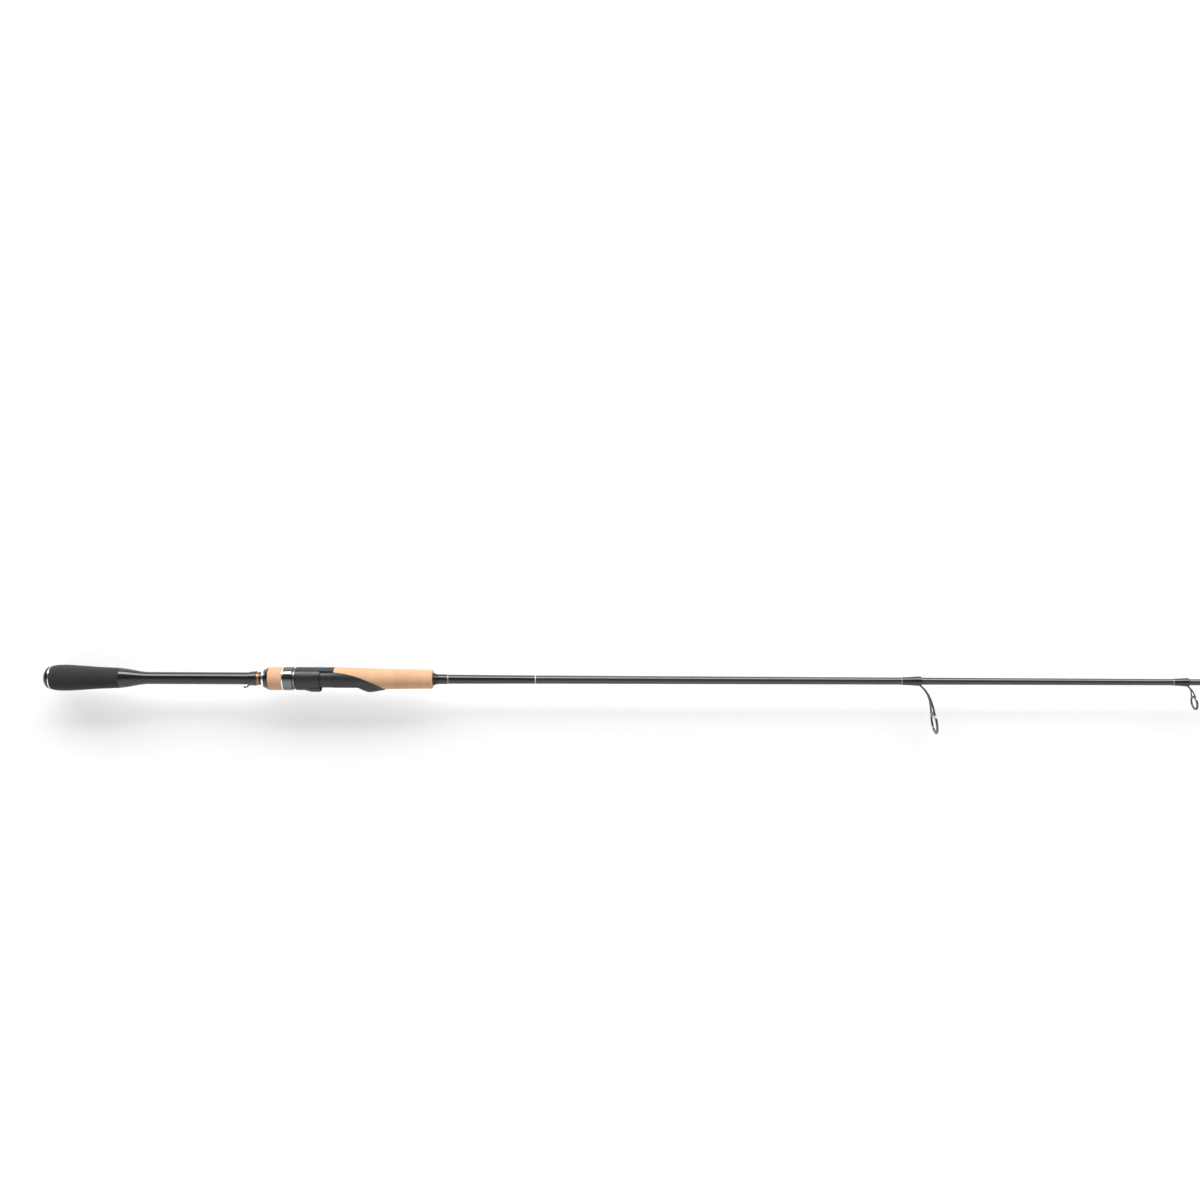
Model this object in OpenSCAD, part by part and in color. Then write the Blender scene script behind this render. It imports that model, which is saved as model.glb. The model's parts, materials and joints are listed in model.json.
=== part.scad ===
// A light one-piece spinning rod: a split grip, a screw-lock reel seat, a tapered blank, eight line
// guides and a tip guide. The rod lies along X with its tip at +X, and the reel and guides hang below it.
// Stations are measured along the rod from the butt end, and radii from the rod's own axis.
// The origin is at the middle of the flat bed that the reel's foot rests on.

/* [Rod] */
// Overall length from the butt cap to the tip guide
rod_length = 2134; // [1780:1:2560]
// How far the flat bed for the reel's foot lies below the rod's axis
bed_drop = 7.9; // [7.7:0.1:8.2]

/* [Rear grip] */
// Length of the polished butt cap
cap_length = 6.6; // [2:0.1:8]
// Width of the metal ring in front of the butt cap
cap_ring_width = 0.9; // [0.8:0.1:3]
// Station where the foam grip ends and the carbon handle starts
rear_grip_end = 70.8; // [50:0.2:110]
// Greatest radius of the foam grip
rear_grip_radius = 12; // [10.5:0.1:15]

/* [Carbon handle] */
// Radius of the carbon tube between the two grips
tube_radius = 5.7; // [5.3:0.1:6.2]
// Length of the flare that joins the grip to the tube
flare_length = 26; // [18:0.5:36]
// Length of the thread wrap over the hook keeper's feet
keeper_wrap_length = 7.4; // [5:0.1:12]
// Width of the metallic band in front of that wrap
keeper_trim_width = 2.6; // [2:0.1:6]
// Width of the ring that the lock nut turns against
stop_ring_width = 2.3; // [1:0.1:3]

/* [Lock nut] */
// Station of the lock nut's rear face
nut_start = 202; // [190:0.5:225]
// Width of the polished ring at its rear
nut_rear_ring_width = 1.9; // [1:0.1:3]
// Width of the black collar
nut_collar_width = 4.2; // [2:0.1:5]
// Length of its cork sleeve
nut_cork_length = 12.9; // [10:0.1:20]
// Width of the polished ring at its front
nut_front_ring_width = 9.6; // [6:0.1:12]
// Radius of its cork sleeve
nut_radius = 10.7; // [10.3:0.1:11.5]
// How far the hood travels towards the tip
hood_travel = 12; // [8:0.5:12.5]

/* [Reel seat] */
// Radius of the seat's body
seat_radius = 10.7; // [10.4:0.1:11.5]
// Length of the movable hood
hood_length = 22.4; // [20:0.1:28]
// Depth of the pocket in the movable hood
hood_pocket = 11.5; // [8:0.5:13]
// Length of the flat bed for the reel's foot
bed_length = 34.5; // [28:0.5:45]
// Depth of the pocket in the fixed hood
fixed_pocket = 17; // [12:0.5:18]
// Half width of the top rib, which the movable hood slides beside
rib_half_width = 7.4; // [6:0.1:8]
// Thickness of each hood's lip
lip_wall = 0.9; // [0.7:0.1:1.2]

/* [Fore grip] */
// Station of the cork grip's front end
fore_grip_end = 359.1; // [340:0.5:420]
// Radius of the cork grip at its front end
fore_grip_radius = 8.85; // [8:0.05:10]
// Length of the winding check
check_length = 5; // [3:0.5:9]
// Length of the black thread wrap in front of it
butt_wrap_length = 8.3; // [5:0.1:15]
// Width of the metallic thread band
butt_trim_width = 1.4; // [0.8:0.1:3]

/* [Blank] */
// Outer radius of the blank under the grips
blank_butt_radius = 4.85; // [4.6:0.05:5]
// Wall of the blank
blank_wall = 0.9; // [0.7:0.05:1.2]
// Length at the tip that is solid
solid_tip = 620; // [550:10:900]

/* [Guides] */
// Thickness of a thread wrap with its clear coat
wrap_skin = 0.35; // [0.25:0.05:0.5]
// Width of the metallic band behind each wrap
trim_width = 1.0; // [0.6:0.1:2]
// Outer radius of the tip guide's ring frame
tip_ring_radius = 2.4; // [2.2:0.1:3]
// Length of the tip guide's tube
tip_tube_length = 10.5; // [8:0.5:14]
// Width of the metallic band behind the tip guide's wrap
tip_trim_width = 1.5; // [0.8:0.1:3]

/* [Hidden] */

// Radial clearance of a turning or sliding fit, and the gap between pieces that only pass each other
fit = 0.06;
gap = 0.3;
round_steps = 96;

// The line guides from the handle to the tip. Each row holds the ring's distance from the tip, its drop
// below the rod's axis, its frame's outer radius, its hole's radius, the length of its foot, how far the
// ring stands in front of the foot, its lean in degrees and the radius of its legs.
GUIDES = [
  [1311.4, 38.4, 10.55, 7.95, 17.8, 12.4, 9, 0.8],
  [1071.2, 19.0, 6.75, 4.9, 14.1, 5.4, 10, 0.7],
  [857.5, 9.9, 4.1, 2.75, 14.4, 3.6, 18, 0.55],
  [656.1, 7.9, 3.25, 2.15, 11.1, 2.4, 15, 0.45],
  [468.7, 6.2, 2.75, 1.75, 10.1, 1.9, 14, 0.4],
  [329.4, 5.7, 2.75, 1.75, 9.3, 1.8, 12, 0.4],
  [208.2, 5.7, 2.75, 1.75, 8.8, 1.8, 12, 0.4],
  [100.0, 5.7, 2.75, 1.75, 9.0, 1.8, 12, 0.4]];

// The blank's outer diameter at distances from the tip, as far as the front of the grip. Behind that it
// swells to its radius under the grips over a short length.
TAPER = [[0, 1.45], [330, 2.2], [520, 2.55], [880, 4.3], [1070, 6.0], [1350, 6.85], [1680, 7.9],
  [1762, 8.7]];
taper_end = TAPER[len(TAPER) - 1][0];
swell_length = 100;
// The blank stops this far behind the rod's tip, inside the tip guide's tube
tip_inset = 3;

function blank_radius(station) =
  let (from_tip = rod_length - station, swell = min(1, (from_tip - taper_end) / swell_length))
    from_tip < taper_end ? lookup(from_tip, TAPER) / 2
      : lookup(taper_end, TAPER) / 2 * (1 - swell) + blank_butt_radius * swell;

// Points of an arc in degrees, for a profile
function arc(centre, radius, from, to, steps = 6) =
  [for (i = [0:steps]) centre + radius * [cos(from + (to - from) * i / steps),
                                          sin(from + (to - from) * i / steps)]];

// Stations of the handle's pieces, each from the piece before it
cap_ring_start = cap_length;
rear_grip_start = cap_ring_start + cap_ring_width;
nut_collar_start = nut_start + nut_rear_ring_width;
nut_cork_start = nut_collar_start + nut_collar_width;
nut_front_ring_start = nut_cork_start + nut_cork_length;
nut_end = nut_front_ring_start + nut_front_ring_width;
stop_ring_start = nut_start - 0.2 - stop_ring_width;
keeper_trim_start = stop_ring_start - keeper_trim_width;
keeper_wrap_start = keeper_trim_start - keeper_wrap_length;
washer_start = nut_end + 0.25;
washer_end = washer_start + 2;
hood_start = washer_end + gap;
hood_end = hood_start + hood_length;
barrel_start = nut_cork_start + 0.4;
barrel_end = hood_start + hood_travel + 3.8;
bed_start = hood_end + 1;
bed_end = bed_start + bed_length;
bed_mid = (bed_start + bed_end) / 2;
fore_grip_start = hood_end + hood_travel + 1;
seat_tip = bed_end + 23.8;
check_start = fore_grip_end;
butt_wrap_start = check_start + check_length;
butt_trim_start = butt_wrap_start + butt_wrap_length;

// The carbon tube is never thinner than the blank inside it allows
handle_radius = max(tube_radius, blank_butt_radius + 0.85);

// Radii inside the reel seat, from the bore outwards
seat_bore = blank_butt_radius + 0.8;
barrel_radius = seat_bore + 1.35;
tail_bore = barrel_radius + fit;
tail_radius = tail_bore + 1.04;
core_bore = tail_radius + fit;
core_radius = core_bore + 1.14;
rib_bore = tail_radius + gap;
hood_radius = seat_radius - 0.1;
slide_radius = hood_radius - 1.4;
hood_bore = slide_radius + gap;
slide_flat = bed_drop - 0.3;
// How deep the threaded sleeve sits in the hood
tail_seat = 2.4;
// The hoods' lips are arches about an axis of their own, below the rod's axis
arch_drop = bed_drop - 3.9;
arch_radius = 8.2;

// Moves children from stations and heights about the rod's axis to the part's frame
module on_rod() {
  translate([-bed_mid, 0, bed_drop]) children();
}

// Turns a profile of [radius, station] points about the rod's axis
module turned(profile, steps = round_steps) {
  on_rod() rotate([0, 90, 0]) rotate_extrude($fn = steps) polygon(profile);
}

// A plain turned length with its two radii
module sleeve(from, to, radius_from, radius_to) {
  turned([[0, from], [radius_from, from], [radius_to, to], [0, to]]);
}

// A side outline of [station, height] points, as wide as it's told, about the rod's axis
module side_block(outline, half_width) {
  on_rod() rotate([90, 0, 0]) linear_extrude(height = 2 * half_width, center = true) polygon(outline);
}

// A round bar or cone along the rod at its own depth
module long_bar(from, to, radius_from, radius_to, drop) {
  on_rod() translate([from, 0, -drop]) rotate([0, 90, 0])
    cylinder(h = to - from, r1 = radius_from, r2 = radius_to, $fn = round_steps);
}

// A round bar between two points
module rod_between(from, to, radius) {
  span = to - from;
  length = norm(span);
  translate(from) rotate([0, acos(span[2] / length), atan2(span[1], span[0])])
    cylinder(h = length, r = radius, $fn = 32);
}

// A round bar with round ends
module wire(from, to, radius) {
  rod_between(from, to, radius);
  for (end = [from, to]) translate(end) sphere(r = radius, $fn = 32);
}

// Everything inside the blank's outer surface
module blank_space() {
  from = cap_length - 1;
  to = rod_length - tip_inset;
  stations = concat([from, rod_length - taper_end - swell_length],
    [for (i = [len(TAPER) - 1:-1:1]) rod_length - TAPER[i][0]], [to]);
  turned(concat([[0, from]], [for (s = stations) [blank_radius(s), s]], [[0, to]]));
}

module blank() {
  from = cap_length - 2;
  to = rod_length - solid_tip;
  stations = concat([from, rod_length - taper_end - swell_length],
    [for (i = [len(TAPER) - 1:-1:1]) if (TAPER[i][0] > solid_tip) rod_length - TAPER[i][0]]);
  color("#2b2b2e") difference() {
    blank_space();
    turned(concat([[0, from]], [for (s = stations) [blank_radius(s) - blank_wall, s]],
      [[blank_radius(to) - blank_wall * 0.8, to], [0, to]]));
  }
}

// Rear grip

module butt_cap() {
  rim = rear_grip_radius - 1.25;
  color("#1d1d1f") difference() {
    turned(concat([[0, 0]], [for (i = [1:8]) [rim * sin(i * 90 / 8), cap_length * (1 - cos(i * 90 / 8))]],
      [[0, cap_length]]));
    blank_space();
  }
}

module butt_ring() {
  rim = rear_grip_radius - 1.1;
  color("silver") difference() {
    sleeve(cap_ring_start, rear_grip_start, rim, rim);
    blank_space();
  }
}

module rear_grip() {
  length = rear_grip_end - rear_grip_start;
  swell = rear_grip_radius;
  color("#303032") difference() {
    turned([[0, rear_grip_start], [swell - 1.2, rear_grip_start], [swell - 0.65, rear_grip_start + 2],
      [swell - 0.2, rear_grip_start + 5], [swell, rear_grip_start + 9], [swell, rear_grip_start + 15],
      [swell - 0.4, rear_grip_start + 22], [swell - 0.85, rear_grip_start + 29],
      [swell - 1.75, rear_grip_start + 0.66 * length], [swell - 2.4, rear_grip_start + 0.88 * length],
      [swell - 2.7, rear_grip_end], [0, rear_grip_end]]);
    blank_space();
  }
}

// Carbon handle

module handle_tube() {
  flare = rear_grip_radius - 2.7 - handle_radius;
  color("#151517") difference() {
    turned(concat([[0, rear_grip_end]],
      [for (i = [0:12]) [handle_radius + flare * (0.5 + 0.5 * cos(i * 15)) * (1 - 0.12 * sin(i * 15)),
                         rear_grip_end + flare_length * i / 12]],
      [[handle_radius, barrel_start], [0, barrel_start]]));
    blank_space();
  }
}

keeper_wire = 0.45;
keeper_half_width = 1.5;

// The hook keeper is one wire: two feet under the thread wrap and a bow that hangs behind it
module keeper_wires() {
  foot_drop = handle_radius + keeper_wire * 0.9;
  on_rod() for (side = [-1, 1]) {
    y = side * keeper_half_width;
    front = [keeper_wrap_start + keeper_wrap_length - 1.2, y, -foot_drop];
    heel = [keeper_wrap_start - 0.2, y, -foot_drop];
    knee = [keeper_wrap_start - 1.9, y, -foot_drop - 1.6];
    bow = [keeper_wrap_start - 4, y, -foot_drop - 2.4];
    rod_between(front, heel, keeper_wire);
    rod_between(heel, knee, keeper_wire);
    rod_between(knee, bow, keeper_wire);
    for (bend = [heel, knee, bow]) translate(bend) sphere(r = keeper_wire * 1.04, $fn = 32);
  }
}

module keeper_bow() {
  on_rod() translate([keeper_wrap_start - 4, 0, -handle_radius - keeper_wire * 0.9 - 2.4]) {
    intersection() {
      rotate_extrude($fn = 48) translate([keeper_half_width, 0]) circle(r = keeper_wire * 0.9, $fn = 24);
      translate([-6, -6, -6]) cube([6, 12, 12]);
    }
  }
}

module hook_keeper() {
  color("#3c3c40") {
    keeper_wires();
    keeper_bow();
  }
}

module keeper_wrap() {
  from = keeper_wrap_start;
  to = keeper_trim_start;
  crown = handle_radius + 1.1;
  color("#101012") difference() {
    turned([[0, from], [handle_radius + 0.35, from], [crown, from + 0.8], [crown, to], [0, to]]);
    sleeve(from - 1, to + 1, handle_radius, handle_radius);
    keeper_wires();
  }
}

module keeper_trim() {
  color("#a8835b") difference() {
    sleeve(keeper_trim_start, stop_ring_start, handle_radius + 0.6, handle_radius + 0.6);
    sleeve(keeper_trim_start - 1, stop_ring_start + 1, handle_radius, handle_radius);
  }
}

module stop_ring() {
  end = stop_ring_start + stop_ring_width;
  color("#101012") difference() {
    sleeve(stop_ring_start, end, handle_radius + 0.45, handle_radius + 0.45);
    sleeve(stop_ring_start - 1, end + 1, handle_radius, handle_radius);
  }
}

// Lock nut, which turns in place and drives the hood along the seat

module nut_rear_ring() {
  bore = handle_radius + 0.08;
  rim = nut_radius - 1.65;
  color("#d9dadc")
    turned([[bore, nut_start], [rim - 0.5, nut_start], [rim, nut_start + 0.6],
      [rim, nut_collar_start - 0.4], [rim - 0.3, nut_collar_start], [bore, nut_collar_start]]);
}

module nut_collar() {
  bore = handle_radius + 0.08;
  color("#17171a")
    turned([[bore, nut_collar_start], [nut_radius - 2.5, nut_collar_start],
      [nut_radius - 0.9, nut_collar_start + 0.55 * nut_collar_width],
      [nut_radius - 0.25, nut_cork_start - 0.3], [nut_radius - 0.3, nut_cork_start],
      [bore, nut_cork_start]]);
}

module nut_core() {
  color("#8e9094") turned([[core_bore, nut_cork_start], [core_radius, nut_cork_start],
    [core_radius, nut_end], [core_bore, nut_end]]);
}

module nut_cork() {
  color("#cf9f74") turned([[core_radius, nut_cork_start], [nut_radius - 0.1, nut_cork_start],
    [nut_radius, nut_cork_start + 1.2], [nut_radius, nut_front_ring_start],
    [core_radius, nut_front_ring_start]]);
}

module nut_front_ring() {
  rim = nut_radius + 0.05;
  color("#6c6e72") turned([[core_radius, nut_front_ring_start], [rim - 0.2, nut_front_ring_start],
    [rim, nut_front_ring_start + 0.3], [rim, nut_end - 0.5], [rim - 0.4, nut_end],
    [core_radius, nut_end]]);
}

module thrust_washer() {
  color("#b8babd") turned([[tail_radius + 0.1, washer_start], [nut_radius - 0.8, washer_start],
    [nut_radius - 0.8, washer_end], [tail_radius + 0.1, washer_end]]);
}

// Reel seat

// Keeps only what lies below a depth under the rod's axis
module below(depth) {
  intersection() {
    children();
    side_block([[0, -depth], [rod_length / 2, -depth], [rod_length / 2, -30], [0, -30]], 20);
  }
}

// Threaded sleeve that runs inside the lock nut and pushes or pulls the hood
module hood_tail() {
  color("#2c2c2f") turned([[tail_bore, nut_cork_start + 1.2], [tail_radius, nut_cork_start + 1.2],
    [tail_radius, hood_start + tail_seat], [tail_bore, hood_start + tail_seat]]);
}

module movable_hood() {
  lip_start = hood_end - 15;
  ramp_end = lip_start + 6.5;
  flange = 3;
  inner_flat = bed_drop + gap;
  cavity = arch_radius - lip_wall;
  ramp_rise = arch_drop + arch_radius - hood_radius;
  color("#3a3a3d") difference() {
    union() {
      turned([[0, hood_start], [hood_radius - 0.4, hood_start], [hood_radius, hood_start + 0.5],
        [hood_radius, hood_end], [0, hood_end]]);
      // Lip over the reel's foot
      below(inner_flat) union() {
        long_bar(lip_start, ramp_end, arch_radius - ramp_rise, arch_radius, arch_drop);
        long_bar(ramp_end, hood_end - 0.8, arch_radius, arch_radius, arch_drop);
        long_bar(hood_end - 0.8, hood_end, arch_radius, arch_radius - 0.5, arch_drop);
      }
    }
    // The shell's inside, down to the flat that slides under the seat's bed
    difference() {
      sleeve(hood_start + flange, hood_end + 1, hood_bore, hood_bore);
      below(inner_flat) sleeve(hood_start + flange - 1, hood_end + 2, hood_radius, hood_radius);
    }
    below(slide_flat) long_bar(hood_end - hood_pocket, hood_end + 1, cavity, cavity, arch_drop);
    // Slot for the seat's top rib
    side_block([[hood_start - 1, tail_radius * 0.4], [hood_end + 1, tail_radius * 0.4],
      [hood_end + 1, 20], [hood_start - 1, 20]], rib_half_width + gap + 0.05);
    // Socket for the threaded sleeve, and the bore behind it
    sleeve(hood_start - 1, hood_start + tail_seat, tail_radius, tail_radius);
    sleeve(hood_start, hood_start + flange + 1, tail_bore, tail_bore);
  }
}

// Where the seat's body lies below the cork grip, as a side outline. The upper edge is a long slanting
// curve from the top rib down to the tip of the fixed hood.
module below_grip() {
  rear = fore_grip_start;
  run = seat_tip - rear;
  curve = [for (i = [0:10]) [rear + run * i / 10, 6.5 - 4.6 * i / 10 - 11.8 * pow(i / 10, 2.2)]];
  side_block(concat([[nut_start, -20], [nut_start, 20], [rear, 20]], curve, [[seat_tip, -20]]), 20);
}

module seat_body() {
  lip = bed_end + 8.5;
  base = arch_drop + arch_radius;
  cavity = arch_radius - lip_wall;
  color("#333336") difference() {
    union() {
      sleeve(barrel_start, barrel_end + 1, barrel_radius, barrel_radius);
      // The part that the movable hood slides round
      difference() {
        sleeve(barrel_end, fore_grip_start, slide_radius, slide_radius);
        side_block([[barrel_end - 1, -slide_flat], [bed_start, -slide_flat], [bed_start, -bed_drop],
          [fore_grip_start + 1, -bed_drop], [fore_grip_start + 1, -20], [barrel_end - 1, -20]], 20);
      }
      // Top rib, which the hood slides beside
      intersection() {
        turned([[rib_bore, washer_end], [seat_radius - 0.3, washer_end], [seat_radius, washer_end + 0.4],
          [seat_radius, fore_grip_start], [rib_bore, fore_grip_start]]);
        side_block([[washer_end, 0], [washer_end, 20], [fore_grip_start, 20], [fore_grip_start, 0]],
          rib_half_width);
      }
      // Front of the seat, with the flat bed and the fixed hood
      intersection() {
        difference() {
          union() {
            difference() {
              sleeve(fore_grip_start, seat_tip, seat_radius, seat_radius - 0.6);
              side_block([[fore_grip_start - 1, -bed_drop], [bed_end, -bed_drop], [bed_end + 0.6, -20],
                [fore_grip_start - 1, -20]], 20);
            }
            below(bed_drop - 1) union() {
              long_bar(bed_end, lip + 3.7, arch_radius, arch_radius, arch_drop);
              long_bar(lip + 3.7, seat_tip, arch_radius, arch_radius - 2.1, arch_drop);
            }
          }
          below(slide_flat) union() {
            long_bar(bed_end, lip + 3.7, cavity, cavity, arch_drop);
            long_bar(lip + 3.7, bed_end + fixed_pocket, cavity, cavity - 1, arch_drop);
          }
        }
        below_grip();
      }
    }
    sleeve(barrel_start - 1, seat_tip, seat_bore, seat_bore);
    // A mouth that slants forward to the edge of the fixed hood's lip
    side_block([[bed_end, -bed_drop], [lip + 0.01, -base - 0.01], [lip, -20], [bed_end, -20]], 20);
  }
}

arbor_gap = 2;

// Sleeves that pack the blank out to the seat's bore
module arbor(from, to) {
  color("#7d7466") difference() {
    sleeve(from, to, seat_bore, seat_bore);
    blank_space();
  }
}

module rear_arbor() {
  arbor(barrel_start + arbor_gap, hood_start + 4);
}

module front_arbor() {
  arbor(barrel_end, bed_end - 4);
}

// Cork grip

module fore_grip() {
  from = fore_grip_start;
  to = fore_grip_end;
  length = to - from;
  drop = seat_radius - fore_grip_radius;
  color("#d2a57c") difference() {
    turned(concat([[0, from]],
      [for (i = [0:10]) [fore_grip_radius + drop * pow(1 - i / 10, 1.5), from + (length - 2) * i / 10]],
      arc([fore_grip_radius - 1.2, to - 1.2], 1.2, 0, 90, 5), [[0, to]]));
    below_grip();
    sleeve(from - 1, bed_end - 4, seat_bore, seat_bore);
    blank_space();
  }
}

module winding_check() {
  rim = fore_grip_radius - 2.9;
  base = blank_radius(butt_wrap_start) + 0.3;
  lip = 0.8;
  color("#1b1b1e") difference() {
    turned(concat([[0, check_start], [rim, check_start], [rim, check_start + lip]],
      [for (i = [1:6]) [base + (rim - base) * pow(1 - i / 6, 2),
        check_start + lip + (check_length - lip) * i / 6]], [[0, check_start + check_length]]));
    blank_space();
  }
}

module butt_wrap() {
  color("#121214") difference() {
    sleeve(butt_wrap_start, butt_trim_start, blank_radius(butt_wrap_start) + 0.25,
      blank_radius(butt_trim_start) + 0.25);
    blank_space();
  }
}

module butt_trim() {
  end = butt_trim_start + butt_trim_width;
  color("silver") difference() {
    sleeve(butt_trim_start, end, blank_radius(butt_trim_start) + 0.2, blank_radius(end) + 0.2);
    blank_space();
  }
}

// Line guides. Each is one frame with a foot, two legs and a ring holder, round a ceramic ring.

function ring_station(g) = rod_length - g[0];
function foot_end(g) = ring_station(g) - g[5];
function foot_start(g) = foot_end(g) - g[4];
function foot_height(g) = 0.35 + 0.65 * g[7];
function holder_wall(g) = 0.2 + 0.04 * g[2];
function holder_width(g) = 0.9 + 0.1 * g[2];

// Moves children from a ring's centre, with its axis along Z, to its place on the rod
module at_ring(g) {
  on_rod() translate([ring_station(g), 0, -g[1]]) rotate([0, 90 - g[6], 0]) children();
}

// A turned ring with rounded edges and a straight land inside
module ring_shape(outer, inner, width, edge) {
  half = width / 2;
  rotate_extrude($fn = 72) polygon(concat(
    arc([inner + edge, -half + edge], edge, 180, 270, 4),
    arc([outer - edge, -half + edge], edge, 270, 360, 4),
    arc([outer - edge, half - edge], edge, 0, 90, 4),
    arc([inner + edge, half - edge], edge, 90, 180, 4)));
}

module guide_foot(g) {
  blank_top = blank_radius(foot_start(g));
  blank_end = blank_radius(foot_end(g));
  half = 0.4 + g[7];
  side_block([[foot_start(g) + 0.4, -blank_top * 0.6], [foot_start(g) + 0.4, -blank_top - 0.12],
    [foot_end(g) - 1.5, -blank_end - foot_height(g)], [foot_end(g) + g[7], -blank_end - foot_height(g)],
    [foot_end(g) + g[7], -blank_end * 0.6]], half);
}

// One leg, which stops inside the holder's wall
module guide_leg(g) {
  holder_middle = g[2] - holder_wall(g) / 2;
  // Where a leg meets the holder, as an angle from the holder's top
  spread = 42;
  rise = holder_middle * cos(spread);
  heel = [foot_end(g) + g[7] * 0.4, 0.4, -blank_radius(foot_end(g)) - foot_height(g) + g[7] * 0.6];
  toe = [ring_station(g) - rise * sin(g[6]), holder_middle * sin(spread), -g[1] + rise * cos(g[6])];
  difference() {
    on_rod() wire(heel, toe, g[7] * 0.85);
    at_ring(g) cylinder(h = 4 * g[2], r = holder_middle, center = true, $fn = 72);
  }
}

module guide_frame(g) {
  color("#85878b") difference() {
    union() {
      guide_foot(g);
      for (flip = [0, 1]) mirror([0, flip, 0]) guide_leg(g);
      at_ring(g) ring_shape(g[2], g[2] - holder_wall(g), holder_width(g), 0.12);
    }
    blank_space();
  }
}

module guide_ring(g) {
  color("#26272b") at_ring(g)
    ring_shape(g[2] - holder_wall(g), g[3], holder_width(g) + 0.3, 0.3 + 0.03 * g[3]);
}

module guide_wrap(g) {
  from = foot_start(g);
  to = foot_end(g);
  crown = blank_radius(to) + foot_height(g) + wrap_skin * 0.6;
  color("#111113") difference() {
    turned([[0, from], [blank_radius(from) + wrap_skin * 0.6, from],
      [blank_radius(from) + wrap_skin, from + 0.6], [crown, to - 1.6], [crown, to - 0.8],
      [crown - 0.35, to], [0, to]]);
    blank_space();
    guide_frame(g);
  }
}

module guide_trims() {
  color("silver") for (g = GUIDES) {
    to = foot_start(g);
    difference() {
      sleeve(to - trim_width, to, blank_radius(to) + wrap_skin * 0.6, blank_radius(to) + wrap_skin * 0.6);
      blank_space();
    }
  }
}

// Tip guide: a tube over the blank's end, with a loop frame and its own ceramic ring

tip_ring_drop = 3.1;
tip_lean = 8;
tip_ring_hole = 1.4;
tip_tube_start = rod_length - tip_inset - tip_tube_length;
tip_bore = blank_radius(rod_length - tip_inset);
tip_wrap_start = tip_tube_start - 0.5;
tip_wrap_length = 5.8;
tip_trim_start = tip_wrap_start - tip_trim_width;
TIP = [0.9 + tip_ring_radius * sin(tip_lean), tip_ring_drop, tip_ring_radius, tip_ring_hole, 0, 0,
  tip_lean, 0.35];

module tip_frame() {
  tube = tip_bore + 0.55;
  tube_end = rod_length - tip_inset + 0.8;
  holder_middle = TIP[2] - holder_wall(TIP) / 2;
  spread = 60;
  rise = holder_middle * cos(spread);
  color("#85878b") difference() {
    union() {
      difference() {
        union() {
          turned([[0, tip_tube_start], [tube - 0.15, tip_tube_start], [tube, tip_tube_start + 0.5],
            [tube, tube_end - 0.4], [tube - 0.3, tube_end], [0, tube_end]], 48);
          on_rod() for (side = [-1, 1])
            wire([tube_end - 3.3, side * (tube - 0.1), -0.3], [ring_station(TIP) - rise * sin(tip_lean),
              side * holder_middle * sin(spread), -TIP[1] + rise * cos(tip_lean)], TIP[7]);
        }
        at_ring(TIP) cylinder(h = 2.4, r = holder_middle, center = true, $fn = 72);
      }
      at_ring(TIP) ring_shape(TIP[2], TIP[2] - holder_wall(TIP), 1.1, 0.1);
    }
    blank_space();
  }
}

module tip_ring() {
  color("#26272b") at_ring(TIP) ring_shape(TIP[2] - holder_wall(TIP), TIP[3], 1.4, 0.3);
}

module tip_wrap() {
  to = tip_wrap_start + tip_wrap_length;
  color("#111113") difference() {
    turned([[0, tip_wrap_start], [tip_bore + 0.3, tip_wrap_start], [tip_bore + 0.8, tip_wrap_start + 1.6],
      [tip_bore + 0.8, to - 0.4], [tip_bore + 0.55, to], [0, to]]);
    blank_space();
    tip_frame();
  }
}

module tip_trim() {
  color("silver") difference() {
    sleeve(tip_trim_start, tip_wrap_start, tip_bore + 0.3, tip_bore + 0.3);
    blank_space();
  }
}

butt_cap();
butt_ring();
rear_grip();
handle_tube();
hook_keeper();
keeper_wrap();
keeper_trim();
stop_ring();
nut_rear_ring();
nut_collar();
nut_core();
nut_cork();
nut_front_ring();
thrust_washer();
hood_tail();
movable_hood();
seat_body();
rear_arbor();
front_arbor();
fore_grip();
winding_check();
butt_wrap();
butt_trim();
blank();
for (i = [1:8]) {
  guide_frame(GUIDES[i - 1]);
  guide_ring(GUIDES[i - 1]);
  guide_wrap(GUIDES[i - 1]);
}
guide_trims();
tip_frame();
tip_ring();
tip_wrap();
tip_trim();
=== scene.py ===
"""A light one-piece spinning rod seen from the side, butt to the left, with its guides hanging below.

Metres, in the part's own frame: +X to the tip, +Z up, and the origin on the bed of the reel seat.
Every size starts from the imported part: its nodes' boxes and the bores of its guides.
"""

import json
import math

import bmesh
import bpy
from mathutils import Matrix, Vector


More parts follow.
